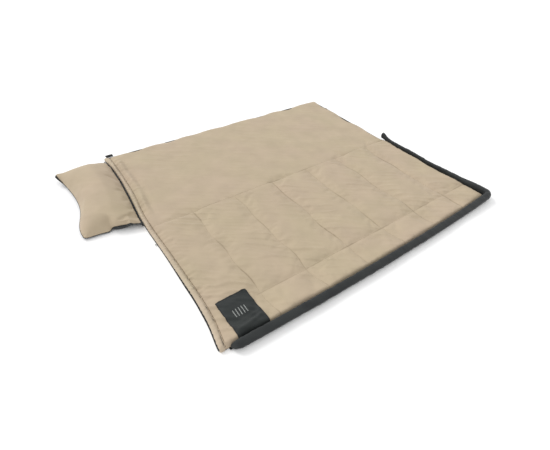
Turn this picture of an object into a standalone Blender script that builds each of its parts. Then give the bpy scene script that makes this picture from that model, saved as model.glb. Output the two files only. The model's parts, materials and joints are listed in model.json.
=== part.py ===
"""Camp quilt: a rectangular sleeping bag unzipped and laid open flat, with its pillow.

The frame is +X from the head edge to the foot edge, +Y from the cover half to the base half
and +Z up. The origin is the centre of the bounding box at floor level. Lengths are in metres.

The base half carries the pillow and the zip slider. The cover half carries the padded draft
tube and the pocket, and folds over the base half about the seam between them.
"""
import math

import bmesh
import bpy
from mathutils import Matrix, Vector

# Cloth, gaps and padding
CLOTH = 0.0008
GAP = 0.0003
LOFT = 0.027

# Quilt panels
QUILT_LENGTH = 1.905
BASE_WIDTH = 0.815
COVER_WIDTH = 0.828
FOOT_STEP = 0.020
CORNER_RADIUS = 0.040
EDGE_BOW = 0.020
HEM_WIDTH = 0.030
FOLD_RISE = 0.001

# Zip
SEAM_HEIGHT = 0.0035
TAPE_WIDTH = 0.016
COIL_WIDTH = 0.005
COIL_HEIGHT = 0.0024
STOP_LENGTH = 0.004
TAPE_END_MARGIN = 0.018
BOX_WIDTH = 0.010
BOX_HEIGHT = 0.006
PIN_WIDTH = 0.0022
TAPE_HEAD_MARGIN = 0.050

# Slider and its pull
SLIDER_LENGTH = 0.014
SLIDER_WALL = 0.0014
SLIDER_FROM_FAR_EDGE = 0.145
CROWN_LENGTH = 0.0062
CROWN_WIDTH = 0.0024
CROWN_LEG = 0.0013
CROWN_WINDOW_HEIGHT = 0.0020
PULL_BAR = 0.0012
PULL_WIDTH = 0.0080
PULL_LENGTH = 0.024
PULL_HOLE_LENGTH = 0.0042
GRIP_LENGTH = 0.042
GRIP_WIDTH = 0.007
GRIP_THICKNESS = 0.0024

# Draft tube
TUBE_RADIUS = 0.020
TUBE_HEAD_MARGIN = 0.030
TUBE_OVERHANG = 0.012
TUBE_TO_COIL = 0.0005

# Pocket
POCKET_LENGTH = 0.152
POCKET_WIDTH = 0.190
POCKET_RISE = 0.0062
POCKET_FROM_HEM = 0.026
POCKET_FROM_EDGE = 0.008
POCKET_BINDING = 0.010

# Closure tab, landing tab and hang loops
TAB_WIDTH = 0.045
TAB_REACH = 0.036
TAB_THICKNESS = 0.0016
TAB_FROM_HEAD = 0.006
TAB_DROOP = math.radians(25)
HOOK_PAD_THICKNESS = 0.0010
HOOK_PAD_MARGIN = 0.006
LANDING_LENGTH = 0.022
LANDING_REACH = 0.014
LOOP_WIDTH = 0.014
LOOP_REACH = 0.034
LOOP_THICKNESS = 0.0020
HEAD_LOOP_WIDTH = 0.010
HEAD_LOOP_REACH = 0.009
HEAD_LOOP_FROM_FOLD = 0.114

# Pillow
PILLOW_DEPTH = 0.285
PILLOW_HEM_WIDTH = 0.715
PILLOW_OUTER_WIDTH = 0.610
PILLOW_CROWN = 0.086
PILLOW_SEAM_HEIGHT = 0.013
PILLOW_HEM_GAP = 0.012
PILLOW_FROM_FOLD = 0.050
PILLOW_PINCH = 0.036
PILLOW_FLAT_SHARE = 2.0

# Segment counts
SIDE_STEPS = 12
CORNER_STEPS = 6
TUBE_RESOLUTION = 4
PILLOW_CELLS_X = 12
PILLOW_CELLS_Y = 18

# Places worked out from the sizes above
TAPE_TOP = SEAM_HEIGHT + CLOTH
COIL_TOP = TAPE_TOP + COIL_HEIGHT
COIL_INNER = TAPE_WIDTH - COIL_WIDTH
TUBE_CENTRE_HEIGHT = COIL_TOP + TUBE_TO_COIL + TUBE_RADIUS
TUBE_ABOVE_LINING = max(0.0, TUBE_CENTRE_HEIGHT - LOFT)
TUBE_OUT = GAP + math.sqrt(TUBE_RADIUS ** 2 - TUBE_ABOVE_LINING ** 2)
PILLOW_REACH = PILLOW_HEM_GAP + PILLOW_DEPTH
HEAD_X = PILLOW_REACH - (PILLOW_REACH + QUILT_LENGTH) / 2
COVER_FOOT_X = HEAD_X + QUILT_LENGTH - TUBE_OUT - TUBE_RADIUS
BASE_FOOT_X = COVER_FOOT_X - FOOT_STEP
TAB_DROP_REACH = (TAB_THICKNESS / 2 + HOOK_PAD_THICKNESS) * math.sin(TAB_DROOP)
TAB_OUT = TAB_REACH * math.cos(TAB_DROOP) + TAB_DROP_REACH
NEAR_REACH = COVER_WIDTH + TUBE_OUT + TUBE_RADIUS + EDGE_BOW
FAR_REACH = BASE_WIDTH + GAP + TAB_THICKNESS / 2 + TAB_OUT
FOLD_Y = (NEAR_REACH - FAR_REACH) / 2

BASE = {"sign": 1, "width": BASE_WIDTH, "foot_x": BASE_FOOT_X, "bow": 0.0}
COVER = {"sign": -1, "width": COVER_WIDTH, "foot_x": COVER_FOOT_X, "bow": EDGE_BOW}

FOLD_AXIS = Vector((0.0, FOLD_Y, LOFT + FOLD_RISE))
PILLOW_AXIS = Vector((HEAD_X - PILLOW_HEM_GAP,
                      FOLD_Y + PILLOW_FROM_FOLD + PILLOW_HEM_WIDTH / 2,
                      PILLOW_SEAM_HEIGHT))
SLIDER_CENTRE = Vector((BASE_FOOT_X + COIL_INNER + COIL_WIDTH / 2,
                        FOLD_Y + BASE_WIDTH - SLIDER_FROM_FAR_EDGE,
                        TAPE_TOP))
SLIDER_TOP = COIL_TOP + GAP + SLIDER_WALL
PULL_AXIS = Vector((SLIDER_CENTRE.x, SLIDER_CENTRE.y, SLIDER_TOP + CROWN_WINDOW_HEIGHT / 2))
TAB_AXIS = Vector((HEAD_X + TAB_FROM_HEAD + TAB_WIDTH / 2,
                   FOLD_Y + BASE_WIDTH + GAP + TAB_THICKNESS / 2,
                   LOFT + 2 * GAP))

COLOURS = {
    "lining": ((0.50, 0.41, 0.29), 0.85, 0.0),
    "shell": ((0.045, 0.052, 0.056), 0.70, 0.0),
    "padding": ((0.86, 0.86, 0.84), 0.95, 0.0),
    "webbing": ((0.035, 0.038, 0.040), 0.80, 0.0),
    "zip_coil": ((0.050, 0.055, 0.060), 0.45, 0.0),
    "zip_metal": ((0.20, 0.15, 0.10), 0.38, 1.0),
    "grip": ((0.45, 0.46, 0.46), 0.70, 0.0),
}


def clear_scene():
    """Remove every object of the start-up scene."""
    for item in list(bpy.data.objects):
        bpy.data.objects.remove(item, do_unlink=True)


def make_collection(name):
    """Return a new collection linked to the scene."""
    collection = bpy.data.collections.new(name)
    bpy.context.scene.collection.children.link(collection)
    return collection


def make_materials():
    """Return one Principled material for each entry of COLOURS."""
    materials = {}
    for name, (colour, roughness, metallic) in COLOURS.items():
        material = bpy.data.materials.new(name)
        material.use_nodes = True
        shader = material.node_tree.nodes["Principled BSDF"]
        shader.inputs["Base Color"].default_value = (*colour, 1.0)
        shader.inputs["Roughness"].default_value = roughness
        shader.inputs["Metallic"].default_value = metallic
        materials[name] = material
    return materials


def own_material(base, name):
    """Return a copy of a material that belongs to one named piece."""
    material = MATERIALS[base].copy()
    material.name = f"{name}_{base}"
    return material


def add_piece(name, data, material, hinge=None):
    """Link an object for a mesh or curve, and hang it from its joint's empty."""
    piece = bpy.data.objects.new(name, data)
    data.materials.append(own_material(material, name))
    PARTS.objects.link(piece)
    if hinge is not None:
        piece.parent = hinge
        piece.matrix_parent_inverse = hinge.matrix_world.inverted()
    return piece


def add_hinge(name, place, parent=None):
    """Add an empty on a joint's axis."""
    hinge = bpy.data.objects.new(name, None)
    hinge.empty_display_size = 0.05
    hinge.location = place
    PARTS.objects.link(hinge)
    if parent is not None:
        hinge.parent = parent
        hinge.location = Vector(place) - parent.matrix_world.translation
    bpy.context.view_layer.update()
    return hinge


def add_cutter(name, size, place):
    """Add a box in the cutters' collection."""
    mesh = bpy.data.meshes.new(name)
    shape = bmesh.new()
    bmesh.ops.create_cube(shape, size=1.0, matrix=Matrix.Diagonal((*size, 1.0)))
    shape.to_mesh(mesh)
    shape.free()
    cutter = bpy.data.objects.new(name, mesh)
    cutter.location = place
    cutter.hide_render = True
    cutter.display_type = "WIRE"
    CUTTERS.objects.link(cutter)
    return cutter


def use_boolean(piece, cutter, operation):
    """Cut or join a piece with a box."""
    boolean = piece.modifiers.new(f"{operation.lower()}_{cutter.name}", "BOOLEAN")
    boolean.operation = operation
    boolean.object = cutter


def box_piece(name, low, high, material, hinge=None):
    """Add a box between two corners."""
    mesh = bpy.data.meshes.new(name)
    shape = bmesh.new()
    size = Vector(high) - Vector(low)
    bmesh.ops.create_cube(shape, size=1.0, matrix=Matrix.Diagonal((*size, 1.0)))
    shape.to_mesh(mesh)
    shape.free()
    piece = add_piece(name, mesh, material, hinge)
    piece.location = (Vector(low) + Vector(high)) / 2
    return piece


def plate(name, outlines, z_low, z_high, material, hinge=None):
    """Add a flat plate from closed outlines: the first is the edge, any others are holes."""
    curve = bpy.data.curves.new(name, "CURVE")
    curve.dimensions = "2D"
    curve.fill_mode = "BOTH"
    curve.extrude = (z_high - z_low) / 2
    for outline in outlines:
        spline = curve.splines.new("POLY")
        spline.points.add(len(outline) - 1)
        spline.use_cyclic_u = True
        for point, (x, y) in zip(spline.points, outline):
            point.co = (x, y, 0.0, 1.0)
    piece = add_piece(name, curve, material, hinge)
    piece.location.z = (z_low + z_high) / 2
    return piece


def edge_path(half, offset, start_x=HEAD_X, end_gap=GAP):
    """Points along a panel's open edge: down the long side, round the foot corner, to the fold."""
    sign = half["sign"]
    radius = CORNER_RADIUS + offset
    foot = half["foot_x"] + offset
    corner_x = foot - radius
    points = []
    for step in range(SIDE_STEPS + 1):
        x = start_x + (corner_x - start_x) * step / SIDE_STEPS
        share = (x - HEAD_X) / (corner_x - HEAD_X)
        bow = half["bow"] * 4 * share * (1 - share)
        points.append((x, FOLD_Y + sign * (half["width"] + offset + bow)))
    corner_y = half["width"] + offset - radius
    for step in range(1, CORNER_STEPS + 1):
        turn = math.pi / 2 * (1 - step / CORNER_STEPS)
        x = corner_x + radius * math.cos(turn)
        points.append((x, FOLD_Y + sign * (corner_y + radius * math.sin(turn))))
    points.append((foot, FOLD_Y + sign * end_gap))
    return points


def panel_outline(half, inset=0.0, start_x=HEAD_X):
    """Closed outline of a panel, pulled in from its open edge."""
    points = edge_path(half, -inset, start_x)
    points.append((start_x, FOLD_Y + half["sign"] * GAP))
    return points


def edge_band(half, inner, outer, start_x=HEAD_X, end_gap=GAP):
    """Closed outline of a strip that follows a panel's open edge."""
    far_side = edge_path(half, outer, start_x, end_gap)
    near_side = edge_path(half, inner, start_x, end_gap)
    return far_side + near_side[::-1]


def tray(name, half, start_x, z_flat, z_rim, material, hinge=None):
    """Add a sheet whose open edge turns up or down to a rim, as thick as the cloth."""
    outline = panel_outline(half, CLOTH / 2, start_x)
    n_edge = len(outline) - 1
    shape = bmesh.new()
    flat = [shape.verts.new((x, y, z_flat)) for x, y in outline]
    rim = [shape.verts.new((x, y, z_rim)) for x, y in outline[:n_edge]]
    shape.faces.new(flat)
    for index in range(n_edge - 1):
        shape.faces.new((flat[index], rim[index], rim[index + 1], flat[index + 1]))
    bmesh.ops.recalc_face_normals(shape, faces=shape.faces)
    mesh = bpy.data.meshes.new(name)
    shape.to_mesh(mesh)
    shape.free()
    piece = add_piece(name, mesh, material, hinge)
    cloth = piece.modifiers.new("cloth", "SOLIDIFY")
    cloth.thickness = CLOTH
    cloth.offset = 0.0
    cloth.use_even_offset = True
    return piece


def tube_curve(name, radius, capped, material, hinge):
    """Add a round tube along the cover's open edge, above the zip."""
    path = edge_path(COVER, TUBE_OUT, HEAD_X + TUBE_HEAD_MARGIN, -TUBE_OVERHANG)
    curve = bpy.data.curves.new(name, "CURVE")
    curve.dimensions = "3D"
    curve.bevel_depth = radius
    curve.bevel_resolution = TUBE_RESOLUTION
    curve.use_fill_caps = capped
    spline = curve.splines.new("POLY")
    spline.points.add(len(path) - 1)
    spline.use_smooth = True
    for point, (x, y) in zip(spline.points, path):
        point.co = (x, y, TUBE_CENTRE_HEIGHT, 1.0)
    return add_piece(name, curve, material, hinge)


def make_panel(prefix, half, hinge=None):
    """Add one half's shell, padding, lining and head hem."""
    fill_start = HEAD_X + HEM_WIDTH + GAP
    tray(f"{prefix}_shell", half, HEAD_X, CLOTH / 2, SEAM_HEIGHT - GAP, "shell", hinge)
    plate(f"{prefix}_fill", [panel_outline(half, CLOTH + GAP, fill_start)],
          CLOTH + GAP, LOFT - CLOTH - GAP, "padding", hinge)
    tray(f"{prefix}_lining", half, fill_start, LOFT - CLOTH / 2, TAPE_TOP + GAP, "lining", hinge)
    sign = half["sign"]
    hem_end = half["width"] - CLOTH - GAP
    ends = sorted((FOLD_Y + sign * GAP, FOLD_Y + sign * hem_end))
    box_piece(f"{prefix}_head_hem", (HEAD_X, ends[0], CLOTH + GAP),
              (HEAD_X + HEM_WIDTH, ends[1], LOFT), "lining", hinge)


def make_zip_half(prefix, half, hinge=None):
    """Add one half's zip tape, coil and head stop."""
    start = HEAD_X + TAPE_HEAD_MARGIN
    tape = edge_band(half, -CLOTH, TAPE_WIDTH, start, TAPE_END_MARGIN)
    plate(f"{prefix}_zip_tape", [tape], SEAM_HEIGHT, TAPE_TOP, "webbing", hinge)
    coil_start = start + STOP_LENGTH + 2 * GAP
    coil = edge_band(half, COIL_INNER, TAPE_WIDTH, coil_start, TAPE_END_MARGIN)
    plate(f"{prefix}_zip_coil", [coil], TAPE_TOP + GAP, COIL_TOP, "zip_coil", hinge)
    stop_path = edge_path(half, COIL_INNER, start)
    y_inner = stop_path[0][1]
    y_ends = sorted((y_inner, y_inner + half["sign"] * COIL_WIDTH))
    box_piece(f"{prefix}_zip_stop", (start, y_ends[0], TAPE_TOP + GAP),
              (start + STOP_LENGTH, y_ends[1], COIL_TOP), "zip_metal", hinge)


def make_zip_ends(cover_hinge):
    """Add the box on the base tape and the pin on the cover tape, where the zip separates."""
    box_centre = BASE_FOOT_X + COIL_INNER + COIL_WIDTH / 2
    box_piece("zip_box", (box_centre - BOX_WIDTH / 2, FOLD_Y + 3 * GAP, SEAM_HEIGHT - GAP),
              (box_centre + BOX_WIDTH / 2, FOLD_Y + TAPE_END_MARGIN - GAP, SEAM_HEIGHT - GAP + BOX_HEIGHT),
              "zip_coil")
    pin_outer = COVER_FOOT_X + TAPE_WIDTH
    box_piece("zip_pin", (pin_outer - PIN_WIDTH, FOLD_Y - TAPE_END_MARGIN + GAP, SEAM_HEIGHT),
              (pin_outer, FOLD_Y - 3 * GAP, SEAM_HEIGHT + PIN_WIDTH), "zip_metal", cover_hinge)


def make_slider():
    """Add the slider, whose slot runs along the base coil, and its pull with a soft grip."""
    track = add_hinge("slider_track", SLIDER_CENTRE)
    half_length = SLIDER_LENGTH / 2
    slot_bottom = SEAM_HEIGHT - GAP
    bottom = slot_bottom - SLIDER_WALL
    x_inner = BASE_FOOT_X + COIL_INNER - SLIDER_WALL
    x_coil = BASE_FOOT_X + TAPE_WIDTH + GAP
    slider = box_piece("zip_slider", (x_inner, SLIDER_CENTRE.y - half_length, bottom),
                       (x_coil + SLIDER_WALL, SLIDER_CENTRE.y + half_length, SLIDER_TOP),
                       "zip_metal", track)
    reach = 2 * SLIDER_WALL
    slot_size = (x_coil - x_inner + reach, SLIDER_LENGTH + reach, COIL_TOP + GAP - slot_bottom)
    slot_place = (x_coil - slot_size[0] / 2, SLIDER_CENTRE.y, slot_bottom + slot_size[2] / 2)
    crown_height = CROWN_WINDOW_HEIGHT + CROWN_LEG
    crown = add_cutter("slider_crown", (CROWN_WIDTH, CROWN_LENGTH, crown_height + SLIDER_WALL / 2),
                       (SLIDER_CENTRE.x, SLIDER_CENTRE.y,
                        SLIDER_TOP + crown_height / 2 - SLIDER_WALL / 4))
    window = add_cutter("slider_window",
                        (3 * CROWN_WIDTH, CROWN_LENGTH - 2 * CROWN_LEG, CROWN_WINDOW_HEIGHT),
                        (SLIDER_CENTRE.x, SLIDER_CENTRE.y, SLIDER_TOP + CROWN_WINDOW_HEIGHT / 2))
    slot = add_cutter("slider_slot", slot_size, slot_place)
    use_boolean(slider, crown, "UNION")
    use_boolean(slider, window, "DIFFERENCE")
    use_boolean(slider, slot, "DIFFERENCE")

    swing = add_hinge("pull_swing", PULL_AXIS, track)
    half_bar = PULL_BAR / 2
    half_width = PULL_WIDTH / 2
    half_hole = CROWN_WIDTH / 2 + 2 * GAP
    x, y = PULL_AXIS.x, PULL_AXIS.y
    tip = y - PULL_LENGTH
    outer = [(x - half_width, y + half_bar), (x - half_width, tip + half_width)]
    for step in range(1, CORNER_STEPS):
        turn = math.pi * (1 + step / CORNER_STEPS)
        outer.append((x + half_width * math.cos(turn), tip + half_width + half_width * math.sin(turn)))
    outer += [(x + half_width, tip + half_width), (x + half_width, y + half_bar)]
    hole_end = y - half_bar - PULL_HOLE_LENGTH
    hole = [(x - half_hole, y - half_bar), (x + half_hole, y - half_bar),
            (x + half_hole, hole_end), (x - half_hole, hole_end)]
    plate("zip_pull", [outer, hole], PULL_AXIS.z - half_bar, PULL_AXIS.z + half_bar, "zip_metal", swing)
    box_piece("zip_pull_grip",
              (x - GRIP_WIDTH / 2, tip - GAP - GRIP_LENGTH, PULL_AXIS.z - GRIP_THICKNESS / 2),
              (x + GRIP_WIDTH / 2, tip - GAP, PULL_AXIS.z + GRIP_THICKNESS / 2), "grip", swing)


def make_draft_tube(hinge):
    """Add the cloth sleeve along the cover's edge, open at its ends, and the padding inside it."""
    sleeve = tube_curve("draft_tube_sleeve", TUBE_RADIUS, False, "shell", hinge)
    cloth = sleeve.modifiers.new("cloth", "SOLIDIFY")
    cloth.thickness = CLOTH
    cloth.offset = -1.0
    cloth.use_even_offset = True
    tube_curve("draft_tube_fill", TUBE_RADIUS - CLOTH - 2 * GAP, True, "padding", hinge)


def make_pocket(hinge):
    """Add the pocket on the cover's lining: three sewn sides, its mouth towards the fold."""
    x_low = HEAD_X + HEM_WIDTH + POCKET_FROM_HEM
    x_high = x_low + POCKET_LENGTH
    y_low = FOLD_Y - COVER_WIDTH + POCKET_FROM_EDGE
    y_high = y_low + POCKET_WIDTH
    z_low = LOFT + GAP
    z_high = z_low + POCKET_RISE + CLOTH
    pocket = box_piece("pocket", (x_low, y_low, z_low), (x_high, y_high, z_high), "shell", hinge)
    inside = add_cutter("pocket_inside",
                        (POCKET_LENGTH - 2 * CLOTH, POCKET_WIDTH, 2 * POCKET_RISE),
                        ((x_low + x_high) / 2, (y_low + y_high) / 2 + CLOTH, z_low))
    use_boolean(pocket, inside, "DIFFERENCE")
    box_piece("pocket_binding", (x_low, y_high - POCKET_BINDING, z_high + GAP),
              (x_high, y_high, z_high + GAP + CLOTH), "webbing", hinge)


def make_small_tabs(cover_hinge):
    """Add the flip-over closure tab, its landing tab and the two hang loops."""
    swing = add_hinge("tab_swing", TAB_AXIS)
    tilt = Matrix.Rotation(-TAB_DROOP, 4, "X")
    for name, low, high, material in (
            ("closure_tab", (-TAB_WIDTH / 2, 0.0, -TAB_THICKNESS / 2),
             (TAB_WIDTH / 2, TAB_REACH, TAB_THICKNESS / 2), "webbing"),
            ("closure_hook_pad",
             (HOOK_PAD_MARGIN - TAB_WIDTH / 2, HOOK_PAD_MARGIN, TAB_THICKNESS / 2 + GAP),
             (TAB_WIDTH / 2 - HOOK_PAD_MARGIN, TAB_REACH - GAP, TAB_THICKNESS / 2 + HOOK_PAD_THICKNESS),
             "webbing")):
        piece = box_piece(name, low, high, material)
        centre = (Vector(low) + Vector(high)) / 2
        piece.location = TAB_AXIS + tilt @ centre
        piece.rotation_euler.x = -TAB_DROOP
        piece.parent = swing
        piece.matrix_parent_inverse = swing.matrix_world.inverted()

    edge_y = FOLD_Y - COVER_WIDTH - GAP
    box_piece("closure_landing_tab", (HEAD_X + TAB_FROM_HEAD, edge_y - LANDING_REACH, SEAM_HEIGHT),
              (HEAD_X + TAB_FROM_HEAD + LANDING_LENGTH, edge_y, SEAM_HEIGHT + TAB_THICKNESS),
              "webbing", cover_hinge)
    loop_y = FOLD_Y - HEAD_LOOP_FROM_FOLD
    box_piece("head_hang_loop",
              (HEAD_X - GAP - HEAD_LOOP_REACH, loop_y - HEAD_LOOP_WIDTH / 2, SEAM_HEIGHT),
              (HEAD_X - GAP, loop_y + HEAD_LOOP_WIDTH / 2, SEAM_HEIGHT + LOOP_THICKNESS),
              "grip", cover_hinge)

    loop = box_piece("foot_hang_loop", (0.0, -LOOP_WIDTH / 2, 0.0),
                     (LOOP_REACH, LOOP_WIDTH / 2, LOOP_THICKNESS), "webbing")
    diagonal = math.pi / 4
    corner = Vector((BASE_FOOT_X - CORNER_RADIUS, FOLD_Y + BASE_WIDTH - CORNER_RADIUS))
    middle = CORNER_RADIUS + GAP + LOOP_REACH / 2
    loop.location = (corner.x + middle * math.cos(diagonal), corner.y + middle * math.sin(diagonal),
                     SEAM_HEIGHT - GAP - LOOP_THICKNESS / 2)
    loop.rotation_euler.z = diagonal


def pillow_point(u, v):
    """Plan position at u across the pillow's depth and v along its width, each from -1 to 1."""
    depth = PILLOW_DEPTH - PILLOW_PINCH * (1 - v * v)
    towards_hem = ((1 + u) / 2) ** 3
    width = PILLOW_OUTER_WIDTH + (PILLOW_HEM_WIDTH - PILLOW_OUTER_WIDTH) * towards_hem
    return PILLOW_AXIS.x - (1 - u) / 2 * depth, PILLOW_AXIS.y + v * width / 2


def pillow_upper(u, v):
    """Height of the pillow's upper side."""
    swell = ((1 - u * u) * (1 - v ** 4)) ** 0.75
    return PILLOW_SEAM_HEIGHT + (PILLOW_CROWN - PILLOW_SEAM_HEIGHT - 2 * CLOTH) * swell


def pillow_lower(u, v):
    """Height of the pillow's underside: flat on the floor, rising to the seam."""
    share = min(1.0, PILLOW_FLAT_SHARE * (1 - u * u) * (1 - v * v))
    return PILLOW_SEAM_HEIGHT * (1 - share)


def pillow_layer(shape, height, lift, skip):
    """Add one grid over the pillow, without its outermost lines if skip is 1."""
    layer = []
    for row in range(skip, PILLOW_CELLS_Y + 1 - skip):
        v = math.sin(math.pi / 2 * (2 * row / PILLOW_CELLS_Y - 1))
        line = []
        for column in range(skip, PILLOW_CELLS_X + 1 - skip):
            u = math.sin(math.pi / 2 * (2 * column / PILLOW_CELLS_X - 1))
            line.append(shape.verts.new((*pillow_point(u, v), height(u, v) + lift)))
        layer.append(line)
    rows, columns = len(layer) - 1, len(layer[0]) - 1
    for row in range(rows):
        for column in range(columns):
            corners = (layer[row][column], layer[row][column + 1],
                       layer[row + 1][column + 1], layer[row + 1][column])
            turn = 0 if (row < rows / 2) == (column < columns / 2) else 1
            a, b, c, d = corners[turn:] + corners[:turn]
            shape.faces.new((a, b, c))
            shape.faces.new((a, c, d))
    return layer


def rim_of(layer):
    """Return a grid's outermost vertices in order."""
    right = [line[-1] for line in layer[1:-1]]
    left = [line[0] for line in layer[1:-1]]
    return layer[0] + right + layer[-1][::-1] + left[::-1]


def mesh_from(shape, name):
    """Turn a finished bmesh into a mesh."""
    mesh = bpy.data.meshes.new(name)
    shape.to_mesh(mesh)
    shape.free()
    return mesh


def pillow_sheet(name, height, lift, side, material, hinge):
    """Add the upper or lower cloth of the pillow."""
    shape = bmesh.new()
    pillow_layer(shape, height, lift, 0)
    piece = add_piece(name, mesh_from(shape, name), material, hinge)
    cloth = piece.modifiers.new("cloth", "SOLIDIFY")
    cloth.thickness = CLOTH
    cloth.offset = side
    return piece


def make_pillow():
    """Add the pillow's two cloth sides, its filling and the flap that joins it to the head hem."""
    hinge = add_hinge("pillow_hinge", PILLOW_AXIS)
    pillow_sheet("pillow_top", pillow_upper, CLOTH + GAP, 1.0, "lining", hinge)
    pillow_sheet("pillow_bottom", pillow_lower, CLOTH, -1.0, "shell", hinge)

    shape = bmesh.new()
    lower = pillow_layer(shape, pillow_lower, CLOTH + GAP, 1)
    bmesh.ops.reverse_faces(shape, faces=shape.faces)
    upper = pillow_layer(shape, pillow_upper, CLOTH - GAP, 1)
    low_rim, high_rim = rim_of(lower), rim_of(upper)
    for index, low in enumerate(low_rim):
        after = (index + 1) % len(low_rim)
        shape.faces.new((low, low_rim[after], high_rim[after], high_rim[index]))
    add_piece("pillow_fill", mesh_from(shape, "pillow_fill"), "padding", hinge)

    half = PILLOW_OUTER_WIDTH / 2
    box_piece("pillow_flap",
              (PILLOW_AXIS.x + CLOTH + GAP, PILLOW_AXIS.y - half, PILLOW_SEAM_HEIGHT - CLOTH / 2),
              (HEAD_X - GAP, PILLOW_AXIS.y + half, PILLOW_SEAM_HEIGHT + CLOTH / 2), "shell")


clear_scene()
PARTS = make_collection("camp_quilt")
CUTTERS = make_collection("cutters")
MATERIALS = make_materials()

fold_hinge = add_hinge("cover_fold", FOLD_AXIS)
make_panel("base", BASE)
make_panel("cover", COVER, fold_hinge)
make_zip_half("base", BASE)
make_zip_half("cover", COVER, fold_hinge)
make_zip_ends(fold_hinge)
make_draft_tube(fold_hinge)
make_pocket(fold_hinge)
make_small_tabs(fold_hinge)
make_slider()
make_pillow()
bpy.context.view_layer.update()
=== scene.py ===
"""Looks for the camp quilt: quilted lining and shell, hem, pillow, draft tube, pocket and trim.

All lengths are metres. X and Y below are measured from the head hem's outer edge and from the
fold between the halves: the base half has positive Y and the cover half negative Y.
"""
import json
import math

import bmesh
import bpy
import numpy as np
from mathutils import Matrix, Vector
from mathutils.bvhtree import BVHTree


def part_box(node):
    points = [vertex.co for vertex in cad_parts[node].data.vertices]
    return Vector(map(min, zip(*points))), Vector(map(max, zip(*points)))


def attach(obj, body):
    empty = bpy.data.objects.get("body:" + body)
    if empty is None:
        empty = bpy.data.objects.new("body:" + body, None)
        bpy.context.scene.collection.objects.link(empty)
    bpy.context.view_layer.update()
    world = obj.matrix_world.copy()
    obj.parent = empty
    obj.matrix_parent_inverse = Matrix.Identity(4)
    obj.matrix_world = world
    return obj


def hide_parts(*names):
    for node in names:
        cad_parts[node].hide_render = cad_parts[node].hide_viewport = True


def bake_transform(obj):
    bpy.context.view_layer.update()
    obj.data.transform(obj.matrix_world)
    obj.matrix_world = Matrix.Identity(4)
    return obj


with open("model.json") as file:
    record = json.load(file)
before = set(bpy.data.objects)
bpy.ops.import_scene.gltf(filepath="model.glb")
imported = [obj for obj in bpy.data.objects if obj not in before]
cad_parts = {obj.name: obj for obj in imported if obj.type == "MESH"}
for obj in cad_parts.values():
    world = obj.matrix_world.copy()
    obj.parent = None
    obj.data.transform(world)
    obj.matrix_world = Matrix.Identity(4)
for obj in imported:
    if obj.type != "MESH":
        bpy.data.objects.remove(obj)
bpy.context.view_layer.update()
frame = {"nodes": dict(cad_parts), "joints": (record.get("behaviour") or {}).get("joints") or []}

# Places read from the frame
HEM_LOW, HEM_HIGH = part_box("base_head_hem")
COVER_LOW, COVER_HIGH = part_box("cover_lining")
BASE_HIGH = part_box("base_lining")[1]
TUBE_LOW, TUBE_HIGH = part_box("draft_tube_sleeve")
TAPE_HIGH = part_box("cover_zip_tape")[1]
POCKET_LOW, POCKET_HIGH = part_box("pocket")
PILLOW_LOW, PILLOW_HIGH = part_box("pillow_top")
FLAP_LOW, FLAP_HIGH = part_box("pillow_flap")
JOINTS = {joint["name"]: joint for joint in frame["joints"]}
FOLD_Y = JOINTS["cover_fold"]["pos_m"][1]
HEAD_X = HEM_LOW.x
LOFT = HEM_HIGH.z

# Quilt
EDGE_BOW = 0.020
COVER_WIDTH = FOLD_Y - COVER_LOW.y - EDGE_BOW
BASE_WIDTH = BASE_HIGH.y - FOLD_Y
COVER_FOOT = COVER_HIGH.x - HEAD_X
BASE_FOOT = BASE_HIGH.x - HEAD_X
FAR_CORNER_RADIUS = 0.040
NEAR_CORNER_RADIUS = 0.018
HEM_LAP = 0.020
PADDING_MIDDLE_X = 0.95
PADDING_SHARE = 0.965
PADDING_BOTTOM = 0.006
SHOULDER = 0.012
EDGE_BULGE = 0.005
SEAM_TOP = TAPE_HIGH.z
CROSS_SEAMS = (0.263, 0.536, 0.806, 1.076, 1.349, 1.629)
BORDER_SEAM_Y = -0.682
CELL = 0.010
PLAN_HEAD = 0.030
LINING_DROP = 0.004
HEM_PAST_NEAR = 0.004
HEM_PAST_FAR = 0.001
HEM_FLOOR = 0.0015

# Draft tube
TUBE_START = TUBE_LOW.x - HEAD_X
TUBE_PAST_FOLD = TUBE_HIGH.y - FOLD_Y + 0.034
TUBE_GAP = 0.0003
TUBE_HEAD_REACH = 0.016
TUBE_STRAIGHT_SPOTS = 190
TUBE_CORNER_SPOTS = 14

# Closure tab
TAB_SHIFT = 0.034
TAB_ROOT = 0.008
TAB_THICKNESS = 0.0028
HOOK_PAD_THICKNESS = 0.0010

# Cloth, cord and thread
STITCH_PITCH = 0.0042
STITCH_LENGTH = 0.0028
STITCH_RADIUS = 0.00055
MOTIF_STEP = 0.0140
MOTIF_REACH = 0.019
POCKET_CLOTH_THICKNESS = 0.001
POCKET_REACH = 0.012
FLAP_THICKNESS = 0.0008
PIPING_RADIUS = 0.0017
PIPING_LIFT = 0.0006
WELT_RADIUS = 0.0019

# Rays cast down to find a surface
RAY_HEIGHT = 0.5
DOWN = Vector((0, 0, -1))

# Light, and the camera, placed from the head hem's outer edge and the fold
SUNS = (("key", (-0.6, 2.2, 1.8), 1.3), ("side", (-2.2, -0.5, 1.3), 0.45))
CAMERA_FROM_HEAD = -0.367
CAMERA_FROM_FOLD = -1.558
CAMERA_HEIGHT = 1.388
CAMERA_FORWARD = (0.4625, 0.5900, -0.6618)
CAMERA_ROLL = math.radians(3.42)
LENS = 24.6

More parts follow.
